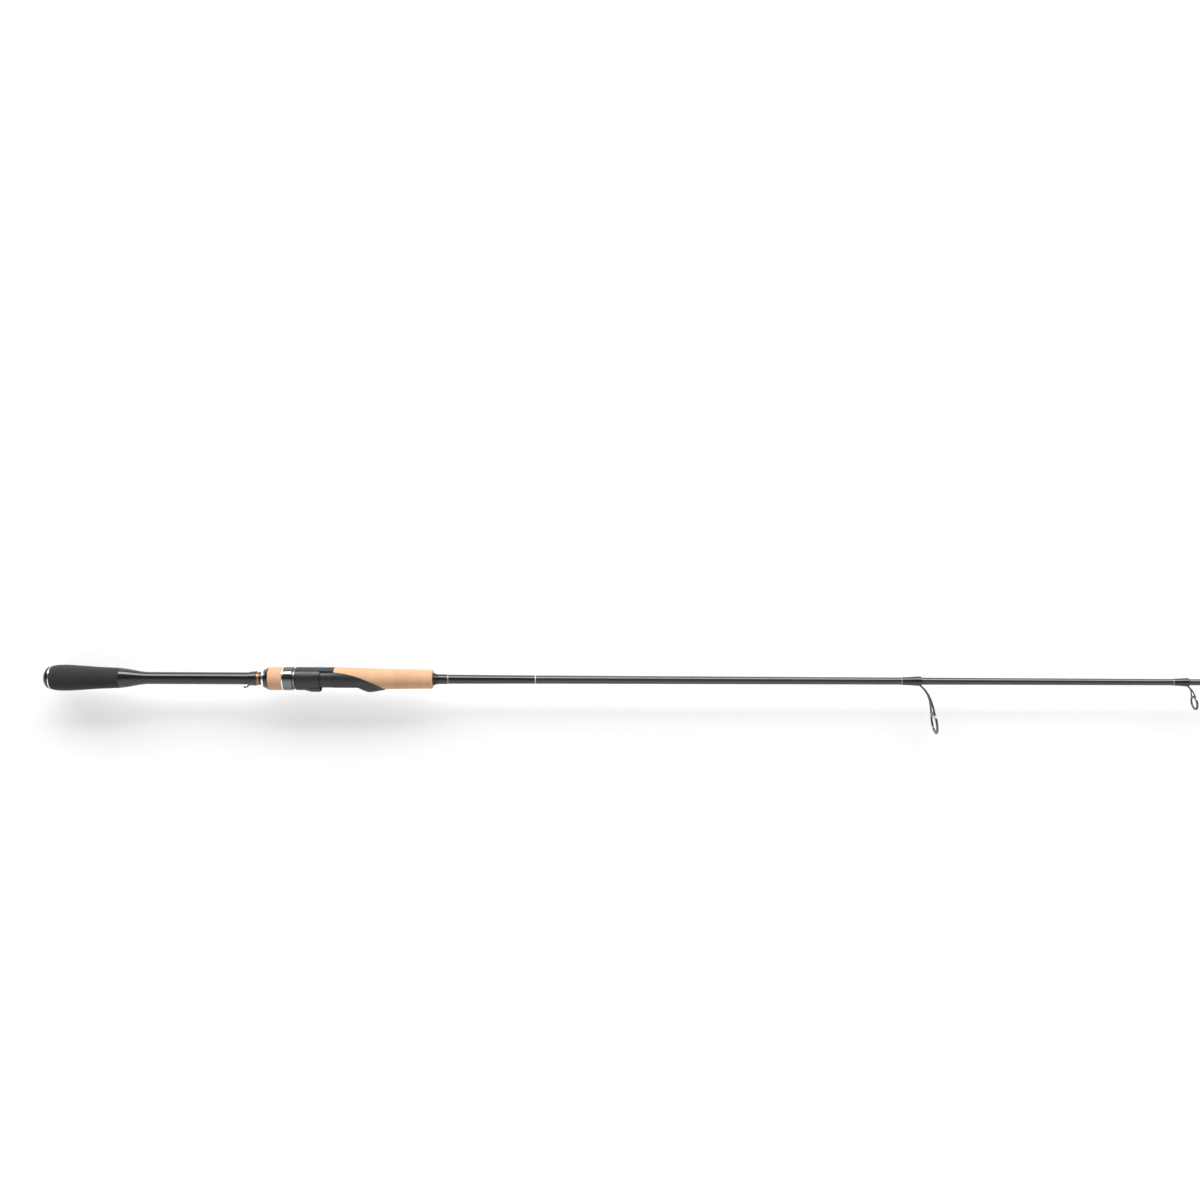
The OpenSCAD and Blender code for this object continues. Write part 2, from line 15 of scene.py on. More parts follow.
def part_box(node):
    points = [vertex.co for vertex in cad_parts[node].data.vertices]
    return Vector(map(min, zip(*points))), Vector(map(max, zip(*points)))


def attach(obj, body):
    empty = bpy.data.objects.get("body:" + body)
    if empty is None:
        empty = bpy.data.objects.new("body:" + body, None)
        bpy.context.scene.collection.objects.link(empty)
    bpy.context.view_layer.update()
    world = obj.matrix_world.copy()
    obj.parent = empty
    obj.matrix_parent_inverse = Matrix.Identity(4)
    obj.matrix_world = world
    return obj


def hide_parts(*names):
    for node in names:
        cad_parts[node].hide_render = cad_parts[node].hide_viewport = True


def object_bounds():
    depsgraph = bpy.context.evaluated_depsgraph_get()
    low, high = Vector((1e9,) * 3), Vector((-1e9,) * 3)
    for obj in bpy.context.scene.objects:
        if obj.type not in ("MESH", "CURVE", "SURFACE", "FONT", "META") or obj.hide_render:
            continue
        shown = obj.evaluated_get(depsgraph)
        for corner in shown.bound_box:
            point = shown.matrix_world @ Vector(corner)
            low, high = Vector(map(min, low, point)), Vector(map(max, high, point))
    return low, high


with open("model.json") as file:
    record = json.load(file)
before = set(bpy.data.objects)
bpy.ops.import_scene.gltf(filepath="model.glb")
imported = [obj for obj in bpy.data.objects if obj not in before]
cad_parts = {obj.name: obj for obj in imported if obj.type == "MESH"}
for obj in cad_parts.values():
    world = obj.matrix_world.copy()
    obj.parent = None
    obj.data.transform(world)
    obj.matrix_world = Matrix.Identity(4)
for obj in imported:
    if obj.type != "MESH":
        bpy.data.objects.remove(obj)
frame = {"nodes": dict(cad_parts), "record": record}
cad = frame["nodes"]
cad_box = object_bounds()

MM = 0.001
butt_end, rod_tip = cad_box[0].x, cad_box[1].x
grip_low, grip_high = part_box("rear_grip")
rod_axis = Vector((0, 0, (grip_low.z + grip_high.z) / 2))

# Camera: it looks level at the rod's butt half, with the grip at the left edge of the view and the
# second guide at the right one.
view_width = 1.109
view_distance = 1.2
look_at_x = butt_end + 0.5131
camera_lift = 0.0738
frame_roll = math.radians(-0.236)
sensor = 36


def put_in_scene(name, data):
    """A new object for a mesh, a lens or a lamp, linked into the scene."""
    made = bpy.data.objects.new(name, data)
    bpy.context.scene.collection.objects.link(made)
    return made


lens = bpy.data.cameras.new("side_camera")
lens.sensor_width = sensor
lens.lens = sensor * view_distance / view_width
lens.clip_start = 0.05
lens.clip_end = 40
camera = put_in_scene("side_camera", lens)
camera.location = (look_at_x, -view_distance, rod_axis.z + camera_lift)
camera.rotation_euler = (math.pi / 2, frame_roll, 0)
bpy.context.scene.camera = camera
bpy.context.scene.view_settings.view_transform = "Standard"

# Light: one large softbox above and in front throws the rod's shadow down the sheet, and a dim surround,
# greyer below than above, fills the rest.
middle_x = look_at_x + 0.2
softbox_place = Vector((middle_x, -0.72, 1.5))


def shader_node(tree, kind, links=(), **values):
    """One node with its settings, its named inputs' values and its incoming links."""
    made = tree.nodes.new(kind)
    for key, value in values.items():
        if hasattr(made, key):
            setattr(made, key, value)
        else:
            made.inputs[key.replace("_", " ")].default_value = value
    for source, target in links:
        tree.links.new(source, made.inputs[target])
    return made


softbox = bpy.data.lights.new("overhead_softbox", "AREA")
softbox.shape = "RECTANGLE"
softbox.size = 4.2
softbox.size_y = 0.8
softbox.energy = 96
overhead = put_in_scene("overhead_softbox", softbox)
overhead.location = softbox_place
overhead.rotation_euler = (Vector((middle_x, 0, 0)) - softbox_place).to_track_quat("-Z", "Y").to_euler()

world = bpy.data.worlds.new("studio")
world.use_nodes = True
bpy.context.scene.world = world
sky = world.node_tree
ray = shader_node(sky, "ShaderNodeTexCoord")
split = shader_node(sky, "ShaderNodeSeparateXYZ", [(ray.outputs["Generated"], 0)])
height_ramp = shader_node(sky, "ShaderNodeValToRGB", [(split.outputs["Z"], 0)])
horizon, zenith = height_ramp.color_ramp.elements
horizon.color = (0.3, 0.3, 0.31, 1)
zenith.position = 0.9
zenith.color = (1, 1, 1, 1)
background = sky.nodes["Background"]
background.inputs["Strength"].default_value = 0.3
sky.links.new(height_ramp.outputs["Color"], background.inputs["Color"])

# Sheet: pale backlit paper that hangs close behind the rod and sweeps out forward as the floor. Seen
# from behind it lets the view through. A wider floor of the same paper lies just below it, so that the
# other sides see no edge.
wall_y = 0.0215
wall_top = 4
floor_z = -0.62
floor_front = -6
sweep_radius = 0.3
sweep_steps = 12
sheet_half = 7
floor_half = 14
floor_gap = 0.002


def finish(name, colour, roughness, metallic=0.0, coat=0.0, specular=0.5):
    """A material with its shader set to one plain finish, ready for its details."""
    made = bpy.data.materials.new(name)
    made.use_nodes = True
    shader = made.node_tree.nodes["Principled BSDF"]
    shader.inputs["Base Color"].default_value = (*colour, 1)
    shader.inputs["Roughness"].default_value = roughness
    shader.inputs["Metallic"].default_value = metallic
    shader.inputs["Specular IOR Level"].default_value = specular
    shader.inputs["Coat Weight"].default_value = coat
    shader.inputs["Coat Roughness"].default_value = 0.03
    return made, made.node_tree, shader


paper, tree, shader = finish("pale_paper", (0.5, 0.5, 0.5), 0.95, specular=0.1)
shader.inputs["Emission Color"].default_value = (1, 1, 1, 1)
shader.inputs["Emission Strength"].default_value = 0.4
clear = shader_node(tree, "ShaderNodeBsdfTransparent")
side = shader_node(tree, "ShaderNodeNewGeometry")
choose = shader_node(tree, "ShaderNodeMixShader", [(side.outputs["Backfacing"], 0), (shader.outputs[0], 1),
                                                   (clear.outputs[0], 2)])
tree.links.new(choose.outputs[0], tree.nodes["Material Output"].inputs["Surface"])


def paper_sheet(name, outline, half):
    """A sheet of the paper from its outline of (y, z) points, as wide to either side as half."""
    corners = [(look_at_x + way * half, y, z) for y, z in outline for way in (-1, 1)]
    quads = [(2 * row, 2 * row + 1, 2 * row + 3, 2 * row + 2) for row in range(len(outline) - 1)]
    mesh = bpy.data.meshes.new(name)
    mesh.from_pydata(corners, [], quads)
    mesh.polygons.foreach_set("use_smooth", [True] * len(quads))
    mesh.materials.append(paper)
    put_in_scene(name, mesh)


outline = [(floor_front, floor_z)]
for step in range(sweep_steps + 1):
    turn = math.pi / 2 * step / sweep_steps
    outline.append((wall_y - sweep_radius + sweep_radius * math.sin(turn),
                    floor_z + sweep_radius - sweep_radius * math.cos(turn)))
outline.append((wall_y, wall_top))
paper_sheet("sheet", outline, sheet_half)
ground_z = floor_z - floor_gap
paper_sheet("studio_floor", [(-floor_half, ground_z), (floor_half, ground_z)], floor_half)

# Butt cap: a turned and polished black dome that closes the end of the rear grip. It is glued to the
# blank's end, with a thin polished metal ring between it and the foam.
dome_steps = 24
dome_sweep = math.radians(86)
dome_fullness = 0.92


def calculated(tree, operation, *terms, clamp=False):
    """The result of one step of arithmetic on sockets and plain numbers."""
    step = shader_node(tree, "ShaderNodeMath", operation=operation, use_clamp=clamp)
    for term, entry in zip(terms, step.inputs):
        if isinstance(term, bpy.types.NodeSocket):
            tree.links.new(term, entry)
        else:
            entry.default_value = term
    return step.outputs[0]


def noise(tree, where, scale, detail, roughness=0.5):
    """Soft random tones at a point."""
    found = shader_node(tree, "ShaderNodeTexNoise", [(where, "Vector")], Scale=scale, Detail=detail,
                        Roughness=roughness)
    return found.outputs[0]


def stretched(tree, where, **values):
    """A point turned or scaled, so that the pattern on it runs with the piece."""
    return shader_node(tree, "ShaderNodeMapping", [(where, "Vector")], **values).outputs[0]


def shader_group(name, inputs, outputs):
    """An empty shader group with its inputs and their values, its outputs, and its two end nodes."""
    group = bpy.data.node_groups.new(name, "ShaderNodeTree")
    for key, value in inputs.items():
        socket = group.interface.new_socket(key, in_out="INPUT", socket_type="NodeSocketFloat")
        socket.default_value = value
    for key, kind in outputs.items():
        group.interface.new_socket(key, in_out="OUTPUT", socket_type=f"NodeSocket{kind}")
    return group, group.nodes.new("NodeGroupInput"), group.nodes.new("NodeGroupOutput")


def group_in(tree, group, **values):
    """A shader group placed in a material or in another group, with its own values."""
    placed = tree.nodes.new("ShaderNodeGroup")
    placed.node_tree = group
    for key, value in values.items():
        placed.inputs[key].default_value = value
    return placed


def relief(tree, shader, height, strength, distance, normal=None):
    """Feeds a shader's normal from a height."""
    links = [(height, "Height")] + ([(normal, "Normal")] if normal else [])
    bump = shader_node(tree, "ShaderNodeBump", links, Strength=strength, Distance=distance)
    tree.links.new(bump.outputs[0], shader.inputs["Normal"])


def along_and_around():
    """Shader group: millimetres along the rod, turns round its axis, and the point in millimetres."""
    group, _, put_out = shader_group("along_and_around", {},
                                     {"Along": "Float", "Around": "Float", "Point": "Vector"})
    place = shader_node(group, "ShaderNodeTexCoord")
    point = stretched(group, place.outputs["Object"], Location=(0, 0, -rod_axis.z / MM),
                      Scale=(1 / MM, 1 / MM, 1 / MM))
    parts = shader_node(group, "ShaderNodeSeparateXYZ", [(point, 0)])
    angle = calculated(group, "ARCTAN2", parts.outputs["Y"], parts.outputs["Z"])
    group.links.new(parts.outputs["X"], put_out.inputs["Along"])
    group.links.new(calculated(group, "DIVIDE", angle, 2 * math.pi), put_out.inputs["Around"])
    group.links.new(point, put_out.inputs["Point"])
    return group


def handling_marks():
    """Shader group: faint hairlines and smears that years of wiping leave on a polished surface."""
    group, take, put_out = shader_group("handling_marks", {"Roughness": 0.1, "Amount": 0.05},
                                        {"Roughness": "Float", "Height": "Float"})
    point = group_in(group, axis_group).outputs["Point"]
    smears = noise(group, point, 0.16, 5, 0.65)
    drawn_out = stretched(group, point, Rotation=(0.3, 0.1, 0.5), Scale=(0.3, 3.5, 3.5))
    hairs = noise(group, drawn_out, 1.6, 3, 0.6)
    centred = calculated(group, "SUBTRACT", calculated(group, "ADD", smears, hairs), 1.0)
    spread = calculated(group, "MULTIPLY", centred, take.outputs["Amount"])
    total = calculated(group, "ADD", spread, take.outputs["Roughness"], clamp=True)
    group.links.new(total, put_out.inputs["Roughness"])
    group.links.new(hairs, put_out.inputs["Height"])
    return group


def handled(name, colour, roughness, wear, bump=0.02, **rest):
    """A finish that carries the handling marks, in its roughness and as a very slight relief."""
    made, tree, shader = finish(name, colour, roughness, **rest)
    marks = group_in(tree, marks_group, Roughness=roughness, Amount=wear)
    tree.links.new(marks.outputs["Roughness"], shader.inputs["Roughness"])
    relief(tree, shader, marks.outputs["Height"], bump, 0.02 * MM)
    return made


def softened(profile, radius, steps=4):
    """A profile with its inner corners rounded, each over at most 0.45 of its shorter neighbour edge."""
    points = [Vector(p) for p in profile]
    rounded = [points[0]]
    for before, corner, after in zip(points, points[1:], points[2:]):
        back, ahead = before - corner, after - corner
        reach = min(radius, 0.45 * back.length, 0.45 * ahead.length)
        no_edge = back.length < 1e-9 or ahead.length < 1e-9
        if no_edge or (math.pi - back.angle(ahead)) < 0.02:
            rounded.append(corner)
            continue
        start = corner + back.normalized() * reach
        end = corner + ahead.normalized() * reach
        for step in range(steps + 1):
            t = step / steps
            rounded.append(start * (1 - t) ** 2 + corner * 2 * t * (1 - t) + end * t * t)
    rounded.append(points[-1])
    return rounded


def turned(name, profile, material, steps=128, sharp=math.radians(35), closed=False):
    """A solid turned about the rod's axis from a profile of (x, radius) points. A closed profile
    is a ring's section; an open one starts and ends on the axis."""
    made = bmesh.new()
    rows = []
    for x, radius in profile:
        if radius < 1e-7:
            rows.append([made.verts.new((x, 0, rod_axis.z))])
            continue
        turns = [2 * math.pi * step / steps for step in range(steps)]
        rows.append([made.verts.new((x, radius * math.sin(turn), rod_axis.z + radius * math.cos(turn)))
                     for turn in turns])
    pairs = list(zip(rows, rows[1:]))
    if closed:
        pairs.append((rows[-1], rows[0]))
    for first, second in pairs:
        for step in range(steps):
            after = (step + 1) % steps
            ring = [first[step % len(first)], second[step % len(second)],
                    second[after % len(second)], first[after % len(first)]]
            ring = [v for i, v in enumerate(ring) if v not in ring[:i]]
            if len(ring) > 2:
                made.faces.new(ring)
    return object_from(name, made, material, sharp)


def object_from(name, made, material, sharp):
    """Turns a bmesh into a smooth-shaded object at the origin, with its hard edges kept sharp."""
    bmesh.ops.recalc_face_normals(made, faces=made.faces)
    mesh = bpy.data.meshes.new(name)
    made.to_mesh(mesh)
    made.free()
    mesh.polygons.foreach_set("use_smooth", [True] * len(mesh.polygons))
    mesh.set_sharp_from_angle(angle=sharp)
    mesh.materials.append(material)
    return put_in_scene(name, mesh)


def stands_for(piece, body, slot, *replaced):
    """Seats a piece on its body in place of the solids it stands for; its finish's slot is not used."""
    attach(piece, body)
    if replaced:
        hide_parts(*replaced)


def extent(node):
    """Where a turned node starts and ends along the rod, and its greatest radius."""
    low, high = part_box(node)
    return low.x, high.x, (high.y - low.y) / 2


axis_group = along_and_around()
marks_group = handling_marks()
lacquer = handled("black_lacquer", (0.004, 0.004, 0.005), 0.2, 0.16, coat=1.0, specular=0.1)

start, end, radius = extent("butt_cap")
dome = [(start, 0)]
for step in range(1, dome_steps + 1):
    turn = dome_sweep * step / dome_steps
    dome.append((start + (end - start) * (1 - math.cos(turn)), radius * math.sin(turn) ** dome_fullness))
butt_cap = turned("butt_dome", [*dome, (end, radius), (end, 0)], lacquer, sharp=math.radians(50))
stands_for(butt_cap, "rod", "gloss_black", "butt_cap")

# Butt ring: a turned and polished metal ring, pressed between the dome and the foam. Only the raised bead
# on its foam side shows.
polished = handled("polished_metal", (0.86, 0.86, 0.88), 0.11, 0.14, metallic=1.0)
start, end, radius = extent("butt_ring")
bead_start = end - 0.8 * MM
sunk = radius - 0.3 * MM
bead = softened([(start, 0), (start, sunk), (bead_start, sunk), (bead_start, radius),
                 (end - 0.1 * MM, radius), (end, radius - 0.15 * MM), (end, 0)], 0.2 * MM, steps=6)
butt_ring = turned("butt_bead", bead, polished)
stands_for(butt_ring, "rod", "polished_metal", "butt_ring")

# Rear grip: closed-cell foam, turned and sanded to a long swelling taper and glued over the blank. Its
# cells are cut open by the sanding, so the surface is matt and very finely pitted.
foam, tree, shader = finish("sanded_foam", (0.012, 0.012, 0.013), 0.82, specular=0.35)
shader.inputs["Sheen Weight"].default_value = 0.15
shader.inputs["Sheen Roughness"].default_value = 0.5


def blended(tree, share, first, second):
    """A colour between two, each a socket or a plain colour."""
    mix = shader_node(tree, "ShaderNodeMix", [(share, 0)], data_type="RGBA")
    for colour, entry in ((first, mix.inputs[6]), (second, mix.inputs[7])):
        if isinstance(colour, bpy.types.NodeSocket):
            tree.links.new(colour, entry)
        else:
            entry.default_value = (*colour, 1)
    return mix.outputs[2]


def ranged(tree, value, from_low, from_high, to_low, to_high):
    """A value carried over from one range to another and held at its ends."""
    found = shader_node(tree, "ShaderNodeMapRange", [(value, "Value")], From_Min=from_low,
                        From_Max=from_high, To_Min=to_low, To_Max=to_high)
    return found.outputs[0]


def shaded(tree, colour, amount):
    """A colour made lighter or darker by an amount that changes over the surface."""
    made = shader_node(tree, "ShaderNodeVectorMath", [(colour, 0)], operation="SCALE")
    tree.links.new(amount, made.inputs["Scale"])
    return made.outputs[0]


point = group_in(tree, axis_group).outputs["Point"]
cells = shader_node(tree, "ShaderNodeTexVoronoi", [(point, "Vector")], Scale=1.9).outputs["Distance"]
tones = blended(tree, noise(tree, point, 0.12, 6, 0.6), (0.0045, 0.0045, 0.005), (0.011, 0.011, 0.012))
# Painted shade: the foam's colour is darker at the bottom of each cell's pit and lighter on the walls between
# the pits.
painted_pit_shade = ranged(tree, cells, 0.1, 0.6, 0.6, 1.25)
tree.links.new(shaded(tree, tones, painted_pit_shade), shader.inputs["Base Color"])
relief(tree, shader, cells, 0.8, 0.12 * MM)


def smooth_through(points, steps=8):
    """Points of a smooth curve through the given ones."""
    curve = []
    ends = [points[0], *points, points[-1]]
    for a, b, c, d in zip(ends, ends[1:], ends[2:], ends[3:]):
        for step in range(steps):
            t = step / steps
            curve.append(tuple(0.5 * (2 * q + (r - p) * t + (2 * p - 5 * q + 4 * r - s) * t * t
                                      + (3 * q - p - 3 * r + s) * t ** 3)
                               for p, q, r, s in zip(a, b, c, d)))
    curve.append(points[-1])
    return curve


# How far the foam stands below its swell, in millimetres, first at places from its butt end and then
# at shares of its length.
start, end, swell = extent("rear_grip")
length = end - start
near_butt = [(0, 1.2), (2, 0.65), (5, 0.2), (9, 0.01), (15, 0.01), (22, 0.4), (29, 0.85)]
toward_tube = [(0.66, 1.75), (0.88, 2.4), (1, 2.7)]
waist = [(start + along * MM, swell - below * MM) for along, below in near_butt]
waist += [(start + share * length, swell - below * MM) for share, below in toward_tube]
rear_grip = turned("foam_grip", [(start, 0), *smooth_through(waist), (end, 0)], foam)
stands_for(rear_grip, "rod", "foam", "rear_grip")

# Carbon handle: a woven carbon tube under a thick clear coat. Its rear end flares out to meet the foam,
# and its front end passes through the stop ring and meets the reel seat inside the lock nut.
tow_width = 1.5
tows_around = 24
twill_repeat = 4
flare_length = 26 * MM
flare_steps = 32
carbon, tree, shader = finish("woven_carbon", (0.008, 0.008, 0.009), 0.4, coat=1.0, specular=0.1)
spot = group_in(tree, axis_group)
warp = calculated(tree, "FLOOR", calculated(tree, "DIVIDE", spot.outputs["Along"], tow_width))
weft = calculated(tree, "FLOOR", calculated(tree, "MULTIPLY", spot.outputs["Around"], tows_around))
twill = calculated(tree, "FLOORED_MODULO", calculated(tree, "ADD", warp, weft), twill_repeat)
over = calculated(tree, "LESS_THAN", twill, twill_repeat / 2)
weave = blended(tree, over, (0.0035, 0.0035, 0.004), (0.005, 0.005, 0.0055))
tree.links.new(weave, shader.inputs["Base Color"])
tree.links.new(ranged(tree, over, 0, 1, 0.41, 0.39), shader.inputs["Roughness"])

start, end, flare_radius = extent("handle_tube")
tube_radius = extent("stop_ring")[2] - 0.45 * MM
shape = []
for step in range(flare_steps + 1):
    turn = math.pi * step / flare_steps
    swell = (0.5 + 0.5 * math.cos(turn)) * (1 - 0.12 * math.sin(turn))
    shape.append((start + flare_length * step / flare_steps,
                  tube_radius + (flare_radius - tube_radius) * swell))
handle = turned("carbon_handle", [(start, 0), *shape, (end, tube_radius), (end, 0)], carbon)
stands_for(handle, "rod", "gloss_carbon", "handle_tube")

# Hook keeper: one plated wire bent into a bow that holds a hook while the rod is carried. Its two feet
# lie along the tube and are bound down under a thread wrap in front of the bow.
wire = 0.45 * MM
half_bow = 1.5 * MM
bow_setback = 4 * MM
bow_drop = 2.4 * MM
bow_rise = math.radians(50)
bow_steps = 12
wire_finish = handled("dark_plated_wire", (0.012, 0.012, 0.013), 0.25, 0.2, metallic=0.4)


def swept(name, path, width, depth, material, around=14, up=(0, 0, 1)):
    """A bar swept along a path. Width and depth are its half sizes at each point, or one for all."""
    made = bmesh.new()
    rows = []
    last = len(path) - 1
    for i, point in enumerate(path):
        ahead = (Vector(path[min(i + 1, last)]) - Vector(path[max(i - 1, 0)])).normalized()
        across = ahead.cross(Vector(up)).normalized()
        over = across.cross(ahead).normalized()
        wide = width[i] if hasattr(width, "__len__") else width
        deep = depth[i] if hasattr(depth, "__len__") else depth
        turns = [2 * math.pi * step / around for step in range(around)]
        rows.append([made.verts.new(Vector(point) + across * wide * math.cos(turn)
                                    + over * deep * math.sin(turn)) for turn in turns])
    for first, second in zip(rows, rows[1:]):
        for step in range(around):
            after = (step + 1) % around
            made.faces.new((first[step], second[step], second[after], first[after]))
    made.faces.new(rows[0][::-1])
    made.faces.new(rows[-1])
    return object_from(name, made, material, math.radians(60))


wrap_start = extent("keeper_wrap")[0]
foot_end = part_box("hook_keeper")[1].x - 0.1 * MM
foot_drop = tube_radius + 0.9 * wire
bow_x = wrap_start - bow_setback
lead = smooth_through([(foot_end, half_bow, -foot_drop), (wrap_start - 0.3 * MM, half_bow, -foot_drop),
                       (wrap_start - 1.9 * MM, half_bow, -foot_drop - 1.5 * MM),
                       (bow_x, half_bow, -foot_drop - bow_drop)], 6)[:-1]
bow = []
for step in range(bow_steps + 1):
    turn = math.pi * step / bow_steps
    reach = half_bow * math.sin(turn)
    bow.append((bow_x - reach * math.cos(bow_rise), half_bow * math.cos(turn),
                reach * math.sin(bow_rise) - foot_drop - bow_drop))
lead_back = [(x, -y, z) for x, y, z in reversed(lead)]
keeper_path = [Vector(p) + rod_axis for p in [*lead, *bow, *lead_back]]
keeper = swept("hook_keeper_wire", keeper_path, wire, wire, wire_finish)
stands_for(keeper, "rod", "dark_wire", "hook_keeper")

# Thread wraps: fine nylon thread wound turn against turn over each foot and flowed over with clear
# epoxy. The windings show faintly through the coat, in relief and with painted shade between them, and the
# coat itself is smooth and glossy.
thread_pitch = 0.2


def windings():
    """Shader group: how high a fine winding stands, by its pitch in millimetres along the rod."""
    group, take, put_out = shader_group("windings", {"Pitch": thread_pitch}, {"Height": "Float"})
    spot = group_in(group, axis_group)
    drift = noise(group, spot.outputs["Point"], 0.5, 2)
    turns = calculated(group, "DIVIDE", spot.outputs["Along"], take.outputs["Pitch"])
    wound = calculated(group, "ADD", turns, spot.outputs["Around"])
    loose = calculated(group, "MULTIPLY_ADD", drift, 0.35, wound)
    group.links.new(calculated(group, "PINGPONG", loose, 0.5), put_out.inputs["Height"])
    return group


def wound_thread(name, dark, light):
    """Thread under epoxy: the windings' relief below with painted shade between them, a smooth clear coat on
    top.
    """
    made, tree, shader = finish(name, light, 0.45, coat=1.0, specular=0.1)
    wound = group_in(tree, windings_group).outputs["Height"]
    # Painted shade: the thread is darker down between its windings and lighter on their crests.
    tree.links.new(blended(tree, wound, dark, light), shader.inputs["Base Color"])
    relief(tree, shader, wound, 0.6, 0.04 * MM)
    return made


def epoxied_wrap(name, node, rear):
    """A wrap's smooth coat: it starts low, rises over the guide's foot and rounds off at its end."""
    low, high, crown = extent(node)
    rise = crown - rear
    length = high - low
    section = [(low, 0), (low, rear - 0.12 * MM), (low + 0.5 * MM, rear),
               (low + 0.35 * length, rear + 0.25 * rise), (high - 0.25 * length, crown - 0.1 * rise),
               (high - 1.1 * MM, crown), (high - 0.35 * MM, crown - 0.12 * MM),
               (high, crown - 0.45 * MM), (high, 0)]
    shell = turned(name, softened(section, 1.4 * MM, steps=5), black_thread, sharp=math.radians(60))
    stands_for(shell, "rod", "thread_black", node)


windings_group = windings()
black_thread = wound_thread("black_thread", (0.002, 0.002, 0.002), (0.009, 0.009, 0.01))
epoxied_wrap("keeper_winding", "keeper_wrap", tube_radius + 0.55 * MM)

# Keeper trim: a few turns of copper-coloured metallic thread between the wrap and the stop ring, wound
# over a thin base of the same.
trim_thread = 0.1 * MM


def thread_turns():
    """Geometry tree: a row of thread turns side by side, each a ring round the rod's axis."""
    tree = bpy.data.node_groups.new("thread_turns", "GeometryNodeTree")
    tree.interface.new_socket("Geometry", in_out="INPUT", socket_type="NodeSocketGeometry")
    for name, kind, value in (("Start", "Float", 0.0), ("Pitch", "Float", thread_pitch * MM),
                              ("Turns", "Int", 5), ("Radius", "Float", 5 * MM),
                              ("Thread", "Float", trim_thread), ("Height", "Float", 0.0),
                              ("Material", "Material", None)):
        made = tree.interface.new_socket(name, in_out="INPUT", socket_type=f"NodeSocket{kind}")
        if value is not None:
            made.default_value = value
    tree.interface.new_socket("Geometry", in_out="OUTPUT", socket_type="NodeSocketGeometry")
    take = tree.nodes.new("NodeGroupInput").outputs
    put_out = tree.nodes.new("NodeGroupOutput")
    circle = "GeometryNodeCurvePrimitiveCircle"
    ring = shader_node(tree, circle, [(take["Radius"], "Radius")], Resolution=72)
    section = shader_node(tree, circle, [(take["Thread"], "Radius")], Resolution=8)
    turn = shader_node(tree, "GeometryNodeCurveToMesh", [(ring.outputs[0], "Curve"),
                                                         (section.outputs[0], "Profile Curve")])
    facing = shader_node(tree, "GeometryNodeTransform", [(turn.outputs[0], "Geometry")],
                         Rotation=(0, math.pi / 2, 0))
    origin = shader_node(tree, "ShaderNodeCombineXYZ", [(take["Start"], "X"), (take["Height"], "Z")])
    spacing = shader_node(tree, "ShaderNodeCombineXYZ", [(take["Pitch"], "X")])
    row = shader_node(tree, "GeometryNodeMeshLine", [(take["Turns"], "Count"), (spacing.outputs[0], "Offset"),
                                                     (origin.outputs[0], "Start Location")])
    place = shader_node(tree, "GeometryNodeInstanceOnPoints", [(row.outputs[0], "Points"),
                                                               (facing.outputs[0], "Instance")])
    whole = shader_node(tree, "GeometryNodeRealizeInstances", [(place.outputs[0], 0)])
    smooth = shader_node(tree, "GeometryNodeSetShadeSmooth", [(whole.outputs[0], 0)])
    paint = shader_node(tree, "GeometryNodeSetMaterial", [(smooth.outputs[0], 0),
                                                          (take["Material"], "Material")])
    tree.links.new(paint.outputs[0], put_out.inputs[0])
    return tree


def grown_by(holder, tree, **inputs):
    """Gives an object the plain mesh that a geometry tree makes of it from its named inputs."""
    grown = holder.modifiers.new("grown", "NODES")
    grown.node_group = tree
    sockets = {item.name: item.identifier for item in tree.interface.items_tree if item.in_out == "INPUT"}
    for key, value in inputs.items():
        grown[sockets[key]] = value
    holder.update_tag()
    bpy.context.view_layer.update()
    seen = bpy.context.evaluated_depsgraph_get()
    mesh = bpy.data.meshes.new_from_object(holder.evaluated_get(seen))
    holder.modifiers.remove(grown)
    holder.data = mesh


def trim_band(name, low, high, inside, material):
    """Thread turns side by side from low to high, each lying on the surface inside."""
    turns = max(2, round((high - low) / (2 * trim_thread)))
    pitch = (high - low) / turns
    band = put_in_scene(name, bpy.data.meshes.new(name))
    grown_by(band, turns_tree, Start=low + pitch / 2, Pitch=pitch, Turns=turns, Thread=0.52 * pitch,
             Radius=inside + trim_thread / 2, Height=rod_axis.z, Material=material)
    band.data.materials.clear()
    band.data.materials.append(material)
    band.data.polygons.foreach_set("material_index", [0] * len(band.data.polygons))
    return band


def joined(name, pieces):
    """One object from several plain ones."""
    made = bmesh.new()
    for piece in pieces:
        made.from_mesh(piece.data)
    mesh = bpy.data.meshes.new(name)
    made.to_mesh(mesh)
    made.free()
    mesh.materials.append(pieces[0].data.materials[0])
    for piece in pieces:
        bpy.data.objects.remove(piece)
    return put_in_scene(name, mesh)


turns_tree = thread_turns()
copper = handled("copper_thread", (0.33, 0.18, 0.09), 0.32, 0.25, metallic=0.85, coat=0.6)
low, high, _ = extent("keeper_trim")
base_radius = tube_radius + 0.38 * MM
keeper_turns = trim_band("copper_band", low, high, tube_radius + 0.35 * MM, copper)
keeper_base = turned("copper_base", [(low, 0), (low, base_radius), (high, base_radius), (high, 0)], copper)
stands_for(joined("copper_band", [keeper_turns, keeper_base]), "rod", "copper_trim", "keeper_trim")

# Stop ring: a small lacquered ring, glued to the tube in front of the copper trim. The lock nut turns
# against it and can't move back past it.
low, high, radius = extent("stop_ring")
stop = turned("stop_bead", softened([(low, 0), (low, radius), (high, radius), (high, 0)], 0.45 * MM), lacquer)
stands_for(stop, "rod", "gloss_black", "stop_ring")

# Lock nut: a polished rear ring, a black collar, a cork sleeve and a polished dark ring on one metal
# core. The angler turns it to drive the hood along the seat.
bore = tube_radius + 0.08 * MM
core_radius = extent("nut_core")[2]


